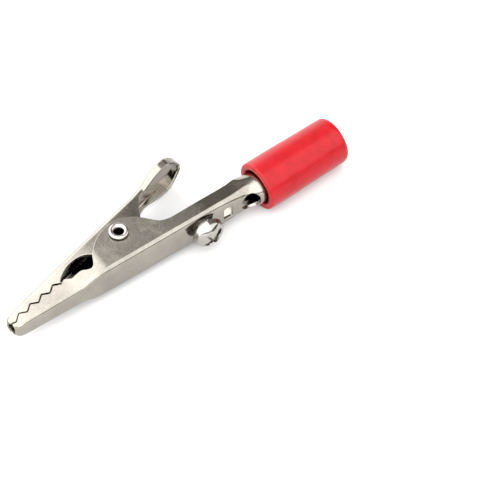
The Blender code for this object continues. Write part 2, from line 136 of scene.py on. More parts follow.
class Nodes:
    """A material whose nodes are added and linked one by one."""

    def __init__(self, name):
        self.material = bpy.data.materials.new(name)
        self.material.use_nodes = True
        self.tree = self.material.node_tree
        self.shader = self.tree.nodes["Principled BSDF"]
        self.place = self.put("ShaderNodeTexCoord").outputs["Object"]

    def put(self, kind, values=(), **settings):
        return put_node(self.tree, kind, values, **settings)

    def add(self, a, b):
        return self.put("ShaderNodeMath", {0: a, 1: b}).outputs[0]

    def noise(self, scale, detail=3.0, roughness=0.55, place=None):
        node = self.put(
            "ShaderNodeTexNoise",
            {"Vector": place or self.place, "Scale": scale, "Detail": detail, "Roughness": roughness},
        )
        return node.outputs["Fac"]

    def ramp(self, factor, stops):
        node = self.put("ShaderNodeValToRGB", {"Fac": factor})
        marks = node.color_ramp.elements
        while len(marks) < len(stops):
            marks.new(0.5)
        for mark, (position, colour) in zip(marks, stops):
            mark.position = position
            mark.color = (*colour, 1.0)
        return node.outputs["Color"]

    def spread(self, factor, low, high, start=0.0, end=1.0):
        node = self.put(
            "ShaderNodeMapRange",
            {"Value": factor, "From Min": start, "From Max": end, "To Min": low, "To Max": high},
        )
        return node.outputs["Result"]

    def bump(self, height, strength, distance, below=None):
        values = {"Height": height, "Strength": strength, "Distance": distance}
        if below is not None:
            values["Normal"] = below
        return self.put("ShaderNodeBump", values).outputs["Normal"]

    def feed(self, socket, source):
        if isinstance(source, bpy.types.NodeSocket):
            self.tree.links.new(source, self.shader.inputs[socket])
        else:
            self.shader.inputs[socket].default_value = source


def nickel(name, colour, roughness, scuffs):
    """Nickel plate over pressed steel: cloudy, speckled colour, fine grain, and slightly duller scuffs."""
    made = Nodes(name)
    dull = [c * 0.78 for c in colour]
    grain = made.noise(5200.0, 2.0)
    speckle = made.add(made.noise(260.0, 4.0), made.spread(grain, -0.22, 0.22, 0.25, 0.75))
    made.feed("Base Color", made.ramp(speckle, ((0.3, dull), (0.7, colour))))
    made.feed("Metallic", 1.0)
    stretched = made.put("ShaderNodeMapping", {"Vector": made.place, "Scale": (700.0, 5200.0, 5200.0)})
    drawn = made.noise(1.0, 4.0, 0.6, stretched.outputs["Vector"])
    wear = made.add(made.spread(grain, 0.0, 0.5), made.spread(drawn, 0.0, 0.5))
    patch = made.spread(made.noise(420.0, 5.0, 0.65), 0.0, scuffs, 0.52, 0.75)
    made.feed("Roughness", made.add(made.spread(wear, roughness - 0.05, roughness + 0.06), patch))
    fine = made.bump(grain, 0.18, 0.00002)
    made.feed("Normal", made.bump(drawn, 0.16, 0.00003, fine))
    return made.material


def vinyl():
    """Soft glossy PVC: a fine moulded grain over a very slight unevenness."""
    made = Nodes("red_vinyl")
    dark, light = (0.25, 0.0015, 0.004), (0.32, 0.003, 0.007)
    made.feed("Base Color", made.ramp(made.noise(700.0, 4.0), ((0.3, dark), (0.7, light))))
    made.feed("Roughness", made.spread(made.noise(1500.0, 3.0), 0.27, 0.38))
    made.feed("Subsurface Weight", 0.12)
    made.feed("Subsurface Radius", (0.0012, 0.0003, 0.0002))
    made.feed("Subsurface Scale", 1.0)
    made.feed("Specular IOR Level", 0.22)
    made.feed("Coat Weight", 0.08)
    made.feed("Coat Roughness", 0.22)
    uneven = made.bump(made.noise(330.0, 2.0), 0.25, 0.00008)
    made.feed("Normal", made.bump(made.noise(4200.0, 3.0), 0.22, 0.00004, uneven))
    return made.material


def spring_steel():
    """Dark drawn wire."""
    made = Nodes("spring_steel")
    dark, light = (0.16, 0.155, 0.15), (0.26, 0.25, 0.235)
    made.feed("Base Color", made.ramp(made.noise(900.0), ((0.3, dark), (0.7, light))))
    made.feed("Metallic", 1.0)
    made.feed("Roughness", made.spread(made.noise(2600.0), 0.26, 0.42))
    made.feed("Normal", made.bump(made.noise(5000.0), 0.2, 0.00002))
    return made.material


# Meshes ------------------------------------------------------------------------------------------

# Grid points that lie closer than this to a loop's own points are left out.
GRID_MARGIN = 0.12


def make_object(name, points, faces, normals, surface):
    """A mesh object in world metres. Given normals make folds and rounded edges shade truly."""
    mesh = bpy.data.meshes.new(name)
    mesh.from_pydata([tuple(p) for p in to_world(points)], [], [tuple(int(i) for i in f) for f in faces])
    mesh.update()
    mesh.shade_smooth()
    if normals is not None:
        mesh.normals_split_custom_set_from_vertices([tuple(n) for n in normals])
    mesh.materials.append(surface)
    obj = bpy.data.objects.new(name, mesh)
    bpy.context.scene.collection.objects.link(obj)
    return obj


def unit(vectors):
    length = np.linalg.norm(vectors, axis=-1, keepdims=True)
    return vectors / np.maximum(length, 1e-12)


def arc(centre, radius, start, end, steps):
    """Points of a circular arc between two angles in degrees, both ends included."""
    angles = np.radians(np.linspace(start, end, steps + 1))
    return np.c_[centre[0] + radius * np.cos(angles), centre[1] + radius * np.sin(angles)]


def hermite(t, start, end, leave, arrive):
    """A cubic from start to end, with the slopes at both ends, for t from 0 to 1."""
    return (
        (2 * t**3 - 3 * t**2 + 1) * start
        + (t**3 - 2 * t**2 + t) * leave
        + (3 * t**2 - 2 * t**3) * end
        + (t**3 - t**2) * arrive
    )


def curve_through(points, spacing):
    """Evenly spaced points on a centripetal Catmull-Rom curve."""
    p = np.asarray(points, float)
    p = np.vstack([2 * p[0] - p[1], p, 2 * p[-1] - p[-2]])
    t = np.linspace(0, 1, 24, endpoint=False)[:, None]
    out = []
    for a, b, c, d in zip(p, p[1:], p[2:], p[3:]):
        k1, k2, k3 = (max(np.linalg.norm(q - r), 1e-9) ** 0.5 for q, r in ((b, a), (c, b), (d, c)))
        leave = (c - b) + k2 * ((b - a) / k1 - (c - a) / (k1 + k2))
        arrive = (c - b) + k2 * ((d - c) / k3 - (d - b) / (k2 + k3))
        out.append(hermite(t, b, c, leave, arrive))
    return even(np.vstack([*out, p[-2:-1]]), spacing)


def length_along(points):
    """How far along a line each of its points lies."""
    return np.r_[0, np.cumsum(np.linalg.norm(np.diff(points, axis=0), axis=1))]


def even(points, spacing):
    """The same line with evenly spaced points, both ends kept."""
    along = length_along(points)
    count = max(2, int(round(along[-1] / spacing)) + 1)
    at = np.linspace(0, along[-1], count)
    return np.c_[np.interp(at, along, points[:, 0]), np.interp(at, along, points[:, 1])]


def bend(before, corner, after, radius, share, steps):
    """A corner rounded off by a parabola, which takes at most a share of each side."""
    back = min(radius, np.linalg.norm(before - corner) * share, np.linalg.norm(after - corner) * share)
    a = corner + unit(before - corner) * back
    b = corner + unit(after - corner) * back
    return [(1 - t) ** 2 * a + 2 * t * (1 - t) * corner + t**2 * b for t in np.linspace(0, 1, steps)]


def rounded(points, radius, spacing):
    """A polyline with its corners rounded off, evenly spaced."""
    p = np.asarray(points, float)
    out = [p[0]]
    for before, corner, after in zip(p, p[1:], p[2:]):
        out += bend(before, corner, after, radius, 0.45, 7)
    out.append(p[-1])
    return even(np.array(out), spacing)


def smooth_table(rows):
    """A smooth, non-overshooting curve for each column of a table, as a function of its first column."""
    table = np.asarray(rows, float)
    x, y = table[:, 0], table[:, 1:]
    h = np.diff(x)[:, None]
    slope = np.diff(y, axis=0) / h
    product, total = slope[:-1] * slope[1:], slope[:-1] + slope[1:]
    inner = np.where(product > 0, 2 * product / (total + 1e-30), 0.0)
    tangent = np.vstack([slope[:1], inner, slope[-1:]])

    def value(at):
        at = np.clip(np.asarray(at, float), x[0], x[-1])
        i = np.clip(np.searchsorted(x, at, side="right") - 1, 0, len(x) - 2)
        t = ((at - x[i]) / h[i, 0])[..., None]
        return hermite(t, y[i], y[i + 1], h[i] * tangent[i], h[i] * tangent[i + 1])

    return value


def inside(points, loop):
    """Which points lie inside a closed polygon."""
    a, b = loop, np.roll(loop, -1, axis=0)
    result = np.zeros(len(points), bool)
    for (ax, ay), (bx, by) in zip(a, b):
        crosses = (ay > points[:, 1]) != (by > points[:, 1])
        with np.errstate(divide="ignore", invalid="ignore"):
            at = (bx - ax) * (points[:, 1] - ay) / (by - ay) + ax
        result ^= crosses & (points[:, 0] < at)
    return result


def clear_of(points, loop):
    """Which points keep their distance from a loop's own points, so that no sliver triangles arise."""
    near = np.zeros(len(points), bool)
    for x, y in loop:
        near |= (np.abs(points[:, 0] - x) < GRID_MARGIN) & (np.abs(points[:, 1] - y) < GRID_MARGIN)
    return ~near


def outward(loop):
    """Unit vectors to the right of a closed loop's direction, which is outwards if it turns left."""
    ahead = unit(np.roll(loop, -1, axis=0) - loop) + unit(loop - np.roll(loop, 1, axis=0))
    ahead = unit(ahead)
    return np.c_[ahead[:, 1], -ahead[:, 0]]


def area(loop):
    """A closed loop's area, positive if it turns left."""
    x, y = loop[:, 0], loop[:, 1]
    return 0.5 * np.sum(x * np.roll(y, -1) - y * np.roll(x, -1))


def fill(loops, grid):
    """Triangles over a region, from its outline and its holes. The loops' own points come first."""
    keep = inside(grid, loops[0]) & clear_of(grid, loops[0])
    for hole in loops[1:]:
        keep &= ~inside(grid, hole) & clear_of(grid, hole)
    points = np.vstack([*loops, grid[keep]])
    edges, first = [], 0
    for loop in loops:
        n = len(loop)
        edges += [(first + i, first + (i + 1) % n) for i in range(n)]
        first += n
    verts, _, faces, origins, _, _ = delaunay_2d_cdt([Vector(p) for p in points], edges, [], 0, 1e-7)

    # The triangulation gives points new numbers, and adds a point wherever two edges cross.
    index = {new: olds[-1] for new, olds in enumerate(origins) if olds}
    for new in range(len(verts)):
        if new not in index:
            index[new] = len(points)
            points = np.vstack([points, np.array(verts[new])[None, :2]])
    triangles = np.array([[index[i] for i in f] for f in faces])

    # Triangles in the holes or past the outline go, and the others all turn left.
    middle = points[triangles].mean(axis=1)
    good = inside(middle, loops[0])
    for hole in loops[1:]:
        good &= ~inside(middle, hole)
    triangles = triangles[good]
    a, b, c = (points[triangles[:, k]] for k in range(3))
    turn = (b[:, 0] - a[:, 0]) * (c[:, 1] - a[:, 1]) - (b[:, 1] - a[:, 1]) * (c[:, 0] - a[:, 0])
    triangles[turn < 0] = triangles[turn < 0][:, ::-1]
    return points, triangles[np.abs(turn) > 1e-9]


def sheet_metal(name, loops, grid, wrap, thickness, surface):
    """A folded sheet. loops and grid are in (t, s), and wrap(t, s) gives the outer face in millimetres."""
    loops = [loop if (area(loop) > 0) == (i == 0) else loop[::-1] for i, loop in enumerate(loops)]
    ways = [outward(loop) for loop in loops]
    b = EDGE_ROUNDING
    points, triangles = fill([loop - way * b for loop, way in zip(loops, ways)], grid)

    def surface_at(ts):
        """Place, outward normal and the directions of t and s at points of the blank."""
        t, s = ts[:, 0], ts[:, 1]
        e = 1e-3
        across = wrap(t, s + e) - wrap(t, s - e)
        along = wrap(t + e, s) - wrap(t - e, s)
        return wrap(t, s), unit(np.cross(along, across)), unit(along), unit(across)

    place, normal, _, _ = surface_at(points)
    verts = [place, place - normal * thickness(points[:, 0])[:, None]]
    normals = [normal, -normal]
    count = len(points)
    faces = [tuple(f) for f in triangles] + [tuple(f + count) for f in triangles[:, ::-1]]

    # Each cut edge gets four more rows of points, two for the rounding of each of its corners: how far they
    # stand in from the edge, how deep they lie from the nearer face, and how much they lean to that face.
    slant = math.sqrt(0.5)
    rows = ((1 - slant, 1 - slant, slant), (0.0, 1.0, 0.0), (0.0, -1.0, 0.0), (1 - slant, slant - 1, -slant))
    total = 2 * count
    start = 0
    for loop, way in zip(loops, ways):
        n = len(loop)
        ids = [np.arange(start, start + n)]
        for inset, depth, lean in rows:
            at = loop - way * b * inset
            p, nrm, along, across = surface_at(at)
            out = unit(along * way[:, :1] + across * way[:, 1:])
            t = thickness(at[:, 0])[:, None]
            down = depth * b if depth > 0 else t + depth * b
            verts.append(p - nrm * down)
            normals.append(unit(nrm * lean + out * math.sqrt(1 - lean**2)))
            ids.append(np.arange(total, total + n))
            total += n
        ids.append(np.arange(start + count, start + count + n))
        for upper, lower in zip(ids, ids[1:]):
            for i in range(n):
                j = (i + 1) % n
                faces.append((upper[i], lower[i], lower[j], upper[j]))
        start += n
    return make_object(name, np.vstack(verts), faces, np.vstack(normals), surface)


def grid_over(t_lines, s_lines):
    """The crossings of two sets of lines."""
    t, s = np.meshgrid(t_lines, s_lines, indexing="ij")
    return np.c_[t.ravel(), s.ravel()]


# Lower jaw ---------------------------------------------------------------------------------------

TOOTH_PITCH = np.array((2.225, 0.43))
TOOTH_ROOT = np.array((0.62, 0.06))
TOOTH_PEAK = np.array((1.05, 0.95))
TOOTH_ROUNDING = 0.17
TOOTH_SPACING = 0.09

# The lower nose's arc in side view: centre and radius.
LOWER_NOSE = ((1.0, 0.25), 1.28)


def tooth_line(shift, first, end):
    """Rounded teeth in side view, shifted up. first shortens the flank at the tip, end is the next point."""
    line = [TOOTH_ROOT - TOOTH_PITCH + TOOTH_PEAK]
    for i in range(4):
        root = TOOTH_ROOT + TOOTH_PITCH * i
        line += [root, root + TOOTH_PEAK]
    line.append(TOOTH_ROOT + TOOTH_PITCH * 4)
    teeth = [p + np.array((0, shift)) for p in line]
    teeth[0] = teeth[0] + (teeth[1] - teeth[0]) * first
    return rounded([*teeth, end], TOOTH_ROUNDING, TOOTH_SPACING)


def sleeve_axis_y(x):
    return SLEEVE_START[1] + (x - SLEEVE_START[0]) * math.tan(SLEEVE_TILT)


def web_height(x):
    """Height of the lower web's outer face, which is straight from the nose to the wire slot."""
    return 0.0242 * x - 1.05


def lower_table():
    """Columns: x, web height, top height, half width, web corner radius, top corner radius."""
    rows = [
        (x, web_height(x), 9.0, half, min(half - 0.15, 0.85), 0.8)
        for x, half in (
            (-0.4, 0.45),
            (-0.25, 0.8),
            (0.1, 1.17),
            (0.6, 1.45),
            (1.3, 1.65),
            (2.4, 1.7),
            (10.6, 1.92),
            (12.0, 2.06),
            (13.6, 2.58),
            (14.8, 2.78),
            (16.5, 2.83),
            (33.0, 2.84),
        )
    ]
    rows += [
        (37.0, -0.15, 6.5, 2.68, 1.0, 1.1),
        (39.2, -0.16, 4.9, 2.52, 1.3, 1.5),
        (40.4, -0.25, 4.4, 2.5, 1.6, 1.8),
        (41.4, -0.5, 4.0, 2.5, 2.0, 2.1),
        (42.3, -0.85, 3.92, 2.5, 2.35, 2.35),
    ]
    for x in (43.2, BARREL_END):
        middle = sleeve_axis_y(x)
        radius = BARREL_RADIUS
        rows.append((x, middle - radius, middle + radius, radius, radius - 0.01, radius - 0.01))
    return rows


lower_params = smooth_table(lower_table())


def fold_point(s, half, web_radius, top_radius, height):
    """(across, up) of a point s along the section of a channel, from the middle of its web."""
    side = np.sign(s)
    s = np.abs(s)

    # Lengths of half the flat web, the bend beside it, the wall, and the bend over the wall.
    a = half - web_radius
    b = web_radius * math.pi / 2
    c = height - web_radius - top_radius
    d = top_radius * math.pi / 2
    across = np.where(s < a, s, 0.0)
    up = np.zeros_like(s)
    first = np.clip((s - a) / web_radius, 0, math.pi / 2)
    on_first = (s >= a) & (s < a + b)
    across = np.where(on_first, a + web_radius * np.sin(first), across)
    up = np.where(on_first, web_radius * (1 - np.cos(first)), up)
    on_wall = (s >= a + b) & (s < a + b + c)
    across = np.where(on_wall, half, across)
    up = np.where(on_wall, web_radius + (s - a - b), up)
    second = np.clip((s - a - b - c) / top_radius, 0, math.pi / 2)
    on_second = (s >= a + b + c) & (s < a + b + c + d)
    across = np.where(on_second, half - top_radius + top_radius * np.cos(second), across)
    up = np.where(on_second, height - top_radius + top_radius * np.sin(second), up)
    beyond = s >= a + b + c + d
    across = np.where(beyond, half - top_radius - (s - a - b - c - d), across)
    up = np.where(beyond, height, up)
    return across * side, up


class LowerFold:
    """The lower jaw's blank and its fold. t runs along the web, from the nose to the end of the barrel."""

    def __init__(self):
        nose = arc(*LOWER_NOSE, 181, 269, 60)
        x = np.linspace(nose[-1, 0] + 0.01, BARREL_END + 0.5, 4000)
        self.points = np.vstack([nose, np.c_[x, lower_params(x)[:, 0]]])
        self.along = length_along(self.points)
        self.end = self.along[-1]

    def x(self, t):
        return np.interp(t, self.along, self.points[:, 0])

    def low(self, t):
        return np.interp(t, self.along, self.points[:, 1])

    def t(self, x):
        return np.interp(x, self.points[:, 0], self.along)

    def section(self, t):
        """Web height, height, half width and both corner radii of the cross-section at t."""
        _, high, half, web_radius, top_radius = lower_params(self.x(t)).T
        low = self.low(t)
        web_radius = np.minimum(web_radius, half - 0.05)
        return low, high - low, half, web_radius, top_radius

    def wrap(self, t, s):
        low, height, half, web_radius, top_radius = self.section(t)
        across, up = fold_point(s, half, web_radius, top_radius, height)
        return np.c_[self.x(t), low + up, across]

    def s_at_height(self, t, y):
        """How far across the fold the sheet reaches height y."""
        low, height, half, web_radius, top_radius = self.section(t)
        up = np.asarray(y, float) - low
        a = half - web_radius
        b = web_radius * math.pi / 2
        c = height - web_radius - top_radius
        on_first = a + web_radius * np.arccos(np.clip(1 - up / web_radius, -1, 1))
        on_wall = a + b + up - web_radius
        over = np.clip((up - (height - top_radius)) / top_radius, 0, 1)
        on_second = a + b + c + top_radius * np.arcsin(over)
        return np.where(up < web_radius, on_first, np.where(up < height - top_radius, on_wall, on_second))

    def s_at_width(self, t, z):
        """How far across the fold the sheet reaches z from the middle, on its web."""
        _, _, half, web_radius, _ = self.section(t)
        a = half - web_radius
        lean = np.arcsin(np.clip((np.abs(z) - a) / web_radius, 0, 1))
        return np.sign(z) * np.where(np.abs(z) < a, np.abs(z), a + web_radius * lean)


def lower_edge():
    """The jaw's upper edge in side view, from the nose to the mouth of the barrel."""
    front = tooth_line(-JAW_GAP / 2, 0.45, (9.95, 2.14))
    cheek = curve_through(
        [
            front[-1],
            (10.35, 2.24),
            (10.85, 1.98),
            (11.3, 1.7),
            (11.8, 1.78),
            (12.4, 1.92),
            (13.0, 1.84),
            (13.6, 1.45),
            (14.15, 1.2),
            (14.7, 1.35),
            (15.15, 1.95),
            (15.65, 2.95),
            (16.5, 4.0),
            (17.7, 5.08),
            (19.3, 5.92),
            (21.2, 6.4),
            (22.9, 6.22),
            (24.2, 5.6),
            (25.4, 4.65),
            (26.4, 3.52),
            (27.3, 2.65),
            (28.6, 2.28),
            (31.0, 2.3),
            (34.0, 2.44),
            (37.5, 2.64),
            (39.4, 2.86),
            (41.1, 3.25),
            (BARREL_MOUTH, 3.66),
        ],
        0.16,
    )
    return np.vstack([front, cheek[1:]])


def circle(centre, radius, steps):
    """Points of a closed circle."""
    return arc(centre, radius, 0, 360 - 360 / steps, steps - 1)


def neighbours(first, count):
    """Pairs of neighbours round a ring of points, by their numbers."""
    return [(first + k, first + (k + 1) % count) for k in range(count)]


def rounded_box(x0, x1, half, corner, steps):
    """A rounded rectangle from x0 to x1, half wide on either side of the middle."""
    corners = (
        ((x1 - corner, half - corner), 0),
        ((x0 + corner, half - corner), 90),
        ((x0 + corner, corner - half), 180),
        ((x1 - corner, corner - half), 270),
    )
    return np.vstack([arc(c, corner, start, start + 90, steps) for c, start in corners])


def across_blank(t, s, count):
    """Points inside the straight edge of a blank at t, from s to -s."""
    return np.c_[np.full(count, t), np.linspace(s, -s, count + 2)[1:-1]]


def mirrored(lines):
    """Lines on one side of a blank's middle, with their mirror images."""
    return np.r_[-lines[:0:-1], lines]


def barrel_edge(fold, start):
    """The blank's edge past the jaw's upper edge, where both walls come round and meet over the barrel."""
    x = np.linspace(BARREL_MOUTH, BARREL_END, 60)[1:]
    t = fold.t(x)
    _, height, half, web_radius, top_radius = fold.section(t)
    corners = (web_radius + top_radius) * math.pi / 2
    girth = half - web_radius + corners + height - web_radius - top_radius + half - top_radius
    close = np.clip((x - BARREL_MOUTH) / 1.1, 0, 1)
    close = close * close * (3 - 2 * close)
    return np.c_[t, start + (girth - SEAM_HALF_WIDTH - start) * close]


def build_lower_jaw(surface):
    fold = LowerFold()
    edge = lower_edge()
    t = fold.t(edge[:, 0])
    near = np.c_[t, fold.s_at_height(t, edge[:, 1])]
    near = np.vstack([near, barrel_edge(fold, near[-1, 1])])
    end = across_blank(*near[-1], 40)
    tip = across_blank(near[0, 0], -near[0, 1], 4)
    outline = np.vstack([near, end, near[::-1] * (1, -1), tip])

    ring = circle(PIVOT, 1.15, 40)
    ring_t = fold.t(ring[:, 0])
    ring_s = fold.s_at_height(ring_t, ring[:, 1])
    holes = [np.c_[ring_t, ring_s], np.c_[ring_t, -ring_s]]
    screw_hole = circle((SCREW_X, 0), 1.4, 40)
    wire_slot = rounded_box(36.8, 38.3, 1.15, 0.35, 6)
    wire_opening = rounded_box(40.0, 42.75, 1.62, 1.3, 10)
    for hole in (screw_hole, wire_slot, wire_opening):
        hole_t = fold.t(hole[:, 0])
        holes.append(np.c_[hole_t, fold.s_at_width(hole_t, hole[:, 1])])

    s_lines = np.r_[np.linspace(0, 1.1, 5), np.linspace(1.1, 3.4, 17)[1:], np.arange(3.4, 9.2, 0.28)[1:]]
    t_lines = np.r_[np.linspace(0.05, 2.2, 26), np.arange(2.4, fold.end - 0.6, 0.26)]
    grid = grid_over(t_lines, mirrored(s_lines))

    def thickness(t):
        return np.interp(fold.x(t), (-0.4, 0.9), (0.22, SHEET))

    return sheet_metal("lower_jaw_sheet", [outline, *holes], grid, fold.wrap, thickness, surface)


# Upper jaw ---------------------------------------------------------------------------------------

# The upper nose's arc in side view: centre and radius.
UPPER_NOSE = ((0.62, 0.98), 0.97)

# The thumb pad's line in side view: it climbs behind the cheeks, levels off and drops over the tip.
PAD_LINE = (
    (24.6, 8.76),
    (26.2, 9.26),
    (27.8, 9.88),
    (29.2, 10.44),
    (30.4, 10.96),
    (31.4, 11.34),
    (32.6, 11.67),
    (33.7, 11.88),
    (34.8, 12.02),
    (35.5, 12.03),
    (36.05, 11.82),
    (36.4, 11.5),
    (36.55, 11.2),
    (36.6, 10.98),
)

# The lever's widths: x, half width, radius of the bend between web and wall.
LEVER_WIDTHS = (
    (-0.36, 0.5, 0.45),
    (-0.25, 0.85, 0.6),
    (0.1, 1.2, 0.75),
    (0.6, 1.45, 0.8),
    (1.3, 1.62, 0.85),
    (2.4, 1.75, 0.85),
    (6.0, 1.93, 0.85),
    (10.0, 2.1, 0.85),
    (13.0, 2.2, 0.85),
    (16.5, 2.26, 0.85),
    (20.0, 2.27, 0.85),
    (23.5, 2.25, 0.85),
    (26.5, 2.2, 0.85),
    (28.6, 2.18, 0.85),
    (29.6, 2.4, 0.7),
    (30.6, 2.76, 0.6),
    (31.6, 3.08, 0.55),
    (32.6, 3.26, 0.55),
    (33.6, 3.26, 0.55),
    (34.4, 3.02, 0.55),
    (35.2, 2.5, 0.55),
    (35.8, 1.82, 0.5),
    (36.2, 1.18, 0.45),
    (36.45, 0.75, 0.35),
    (36.6, 0.4, 0.25),
)


def lever_top(x):
    """Height of the lever's web, which is straight from the nose to the cheeks' end."""
    return 1.78 + 0.284 * x


class UpperFold:
    """The lever's blank and its fold. t runs along the web, from the nose to the tip of the thumb pad."""

    def __init__(self):
        nose = arc(*UPPER_NOSE, 180, 108, 40)
        nose = np.vstack([[(nose[0, 0] - 0.01, 0.62)], nose])
        slope = np.array([(x, lever_top(x)) for x in np.linspace(0.6, 23.0, 60)])
        pad = curve_through([(23.0, lever_top(23.0)), *PAD_LINE], 0.08)
        self.points = np.vstack([nose, slope, pad[1:]])
        self.along = length_along(self.points)
        self.end = self.along[-1]
        self.width = smooth_table([(self.t(x), half, radius) for x, half, radius in LEVER_WIDTHS])

    def t(self, x):
        return np.interp(x, self.points[:, 0], self.along)

    def top(self, x):
        return np.interp(x, self.points[:, 0], self.points[:, 1])

    def line(self, t):
        x, y = self.points.T
        return np.c_[np.interp(t, self.along, x), np.interp(t, self.along, y)]

    def wrap(self, t, s):
        # The lever's walls never turn in over a top, so that bend is put out of reach.
        half, radius = self.width(t).T
        across, up = fold_point(s, half, radius, np.full_like(half, 0.3), np.full_like(half, 30.0))
        return np.c_[self.line(t) - up[:, None] * (0, 1), -across]

    def s_at_depth(self, t, depth):
        """How far across the fold the sheet lies at a depth under the web."""
        half, radius = self.width(t).T
        depth = np.asarray(depth, float)
        on_corner = half - radius + radius * np.arccos(np.clip(1 - depth / radius, -1, 1))
        return np.where(depth < radius, on_corner, half - radius + radius * math.pi / 2 + depth - radius)


def upper_edge():
    """The lever's lower edge in side view, from the nose to the tip of the thumb pad's rim."""
    front = tooth_line(JAW_GAP / 2, 0.3, (9.62, 2.2))
    mouth = curve_through(
        [
            front[-1],
            (9.95, 2.55),
            (10.6, 3.08),
            (11.5, 3.6),
            (12.6, 4.02),
            (13.8, 4.2),
            (15.0, 4.02),
            (16.0, 3.4),
            (17.0, 2.3),
            (18.4, 1.45),
            (20.4, 1.1),
            (22.4, 1.4),
            (24.0, 2.5),
            (24.9, 3.9),
            (25.6, 5.25),
            (26.25, 6.45),
            (26.8, 7.4),
            (27.45, 8.2),
            (28.4, 8.78),
            (29.8, 9.3),
            (31.4, 9.8),
            (33.0, 10.2),
            (34.6, 10.55),
            (35.8, 10.82),
            (36.3, 10.9),
            (36.58, 10.94),
        ],
        0.15,
    )
    return np.vstack([front, mouth[1:]])


def build_upper_jaw(surface):
    fold = UpperFold()
    edge = upper_edge()
    t = fold.t(edge[:, 0])
    s = fold.s_at_depth(t, fold.top(edge[:, 0]) - edge[:, 1])
    keep = np.r_[True, t[1:] > 1e-6]
    near = np.c_[t, s][keep]
    end = across_blank(*near[-1], 6)
    tip = across_blank(near[0, 0], -near[0, 1], 8)
    outline = np.vstack([near, end, near[::-1] * (1, -1), tip])

    ring = circle(PIVOT, 1.2, 40)
    ring_t = fold.t(ring[:, 0])
    ring_s = fold.s_at_depth(ring_t, fold.top(ring[:, 0]) - ring[:, 1])
    holes = [np.c_[ring_t, ring_s], np.c_[ring_t, -ring_s]]

    s_lines = np.r_[np.linspace(0, 1.1, 5), np.linspace(1.1, 3.0, 15)[1:], np.arange(3.0, 11.0, 0.28)[1:]]
    nose_lines = np.linspace(0.08, 2.6, 26)
    lever_lines = np.arange(2.8, fold.t(33.0), 0.26)
    pad_lines = np.arange(fold.t(33.1), fold.end, 0.12)
    grid = grid_over(np.r_[nose_lines, lever_lines, pad_lines], mirrored(s_lines))

    def thickness(t):
        return np.interp(t, (0.0, 1.6), (0.25, SHEET))

    return sheet_metal("upper_jaw_sheet", [outline, *holes], grid, fold.wrap, thickness, surface)


# Turned pieces -----------------------------------------------------------------------------------

RIVET_FACE = 2.98
RIVET_FLANGE = 0.44
SLEEVE_LENGTH = 14.9


def revolve(name, profile, place, axes, segments, surface, wobble=None):
    """A closed profile of (radius, height) points, turned round the last of three axes."""
    profile = np.asarray(profile, float)
    n = len(profile)
    lean = outward(profile)
    if area(profile) < 0:
        lean = -lean
    u, v, w = (np.array(axis, float) for axis in axes)
    verts, normals = [], []
    for k in range(segments):
        angle = 2 * math.pi * k / segments
        ray = u * math.cos(angle) + v * math.sin(angle)
        radius = profile[:, :1] if wobble is None else profile[:, :1] * wobble(angle, profile[:, 1:])
        verts.append(np.array(place) + ray * radius + w * profile[:, 1:])
        normals.append(ray * lean[:, :1] + w * lean[:, 1:])
    faces = []
    for k in range(segments):
        m = (k + 1) % segments
        for i in range(n):
            j = (i + 1) % n
            faces.append((k * n + i, m * n + i, m * n + j, k * n + j))
    if area(profile) < 0:
        faces = [f[::-1] for f in faces]
    return make_object(name, np.vstack(verts), faces, np.vstack(normals), surface)


def loop_with_rounded_corners(points, radius, spacing):
    """A closed profile with rounded corners. Points may carry their own radius as a third value."""
    p = [np.array(q[:2], float) for q in points]
    radii = [q[2] if len(q) > 2 else radius for q in points]
    n = len(p)
    bends = [bend(p[i - 1], p[i], p[(i + 1) % n], radii[i], 0.48, 9) for i in range(n)]
    out = []
    for i, corner in enumerate(bends):
        out += corner
        gap = bends[(i + 1) % n][0] - corner[-1]
        steps = int(np.linalg.norm(gap) / spacing)
        out += [corner[-1] + gap * k / (steps + 1) for k in range(1, steps + 1)]
    return np.array(out)


def build_rivet(surface):
    """The tube between the cheeks, with a flange rolled over at each end and a funnel into its bore."""
    face = RIVET_FACE
    rim = face + RIVET_FLANGE
    side = [(1.1, face), (1.4, face, 0.02), (1.53, face + 0.12, 0.14), (1.44, rim - 0.1, 0.16)]
    side += [(1.16, rim, 0.16), (0.88, rim - 0.1, 0.14), (0.66, rim - 0.42, 0.25)]
    profile = side + [(q[0], -q[1], *q[2:]) for q in reversed(side)]
    profile = loop_with_rounded_corners(profile, 0.05, 0.5)
    axes = ((1, 0, 0), (0, 1, 0), (0, 0, 1))
    return revolve("pivot_eyelet", profile, (*PIVOT, 0), axes, 96, surface)


def build_sleeve(surface):
    """The sleeve: a wide, rounded mouth, a bore that fits the barrel, and a rounded tail with a hole."""
    end = SLEEVE_LENGTH
    profile = [
        (2.86, 0.0, 0.25),
        (3.87, 0.0, 0.36),
        (3.86, 4.0, 2.0),
        (3.74, 12.0, 2.0),
        (3.71, end, 1.35),
        (1.75, end, 0.3),
        (1.75, end - 1.4, 0.1),
        (2.56, end - 2.2, 0.1),
        (2.56, 3.2, 0.3),
        (2.86, 1.6, 0.3),
    ]
    profile = loop_with_rounded_corners(profile, 0.2, 0.4)

    def wobble(angle, along):
        """Soft vinyl is never quite round."""
        return 1 - 0.004 * (1 + math.cos(2 * angle + 0.6)) * np.cos(along * 0.35) ** 2

    lean, climb = math.cos(SLEEVE_TILT), math.sin(SLEEVE_TILT)
    axes = ((0, 0, 1), (climb, -lean, 0), (lean, climb, 0))
    return revolve("sleeve_moulding", profile, (*SLEEVE_START, 0), axes, 144, surface, wobble)


# Terminal screw ----------------------------------------------------------------------------------

HEAD_RADIUS = 2.5
HEAD_SIDE = 0.75
HEAD_TOP = 2.0
RECESS_TURN = math.radians(35)
RECESS_DEPTH = 1.15
SLOT_DEPTH = 0.82
ARM_REACH = 1.35
ARM_HALF_WIDTH = 0.33

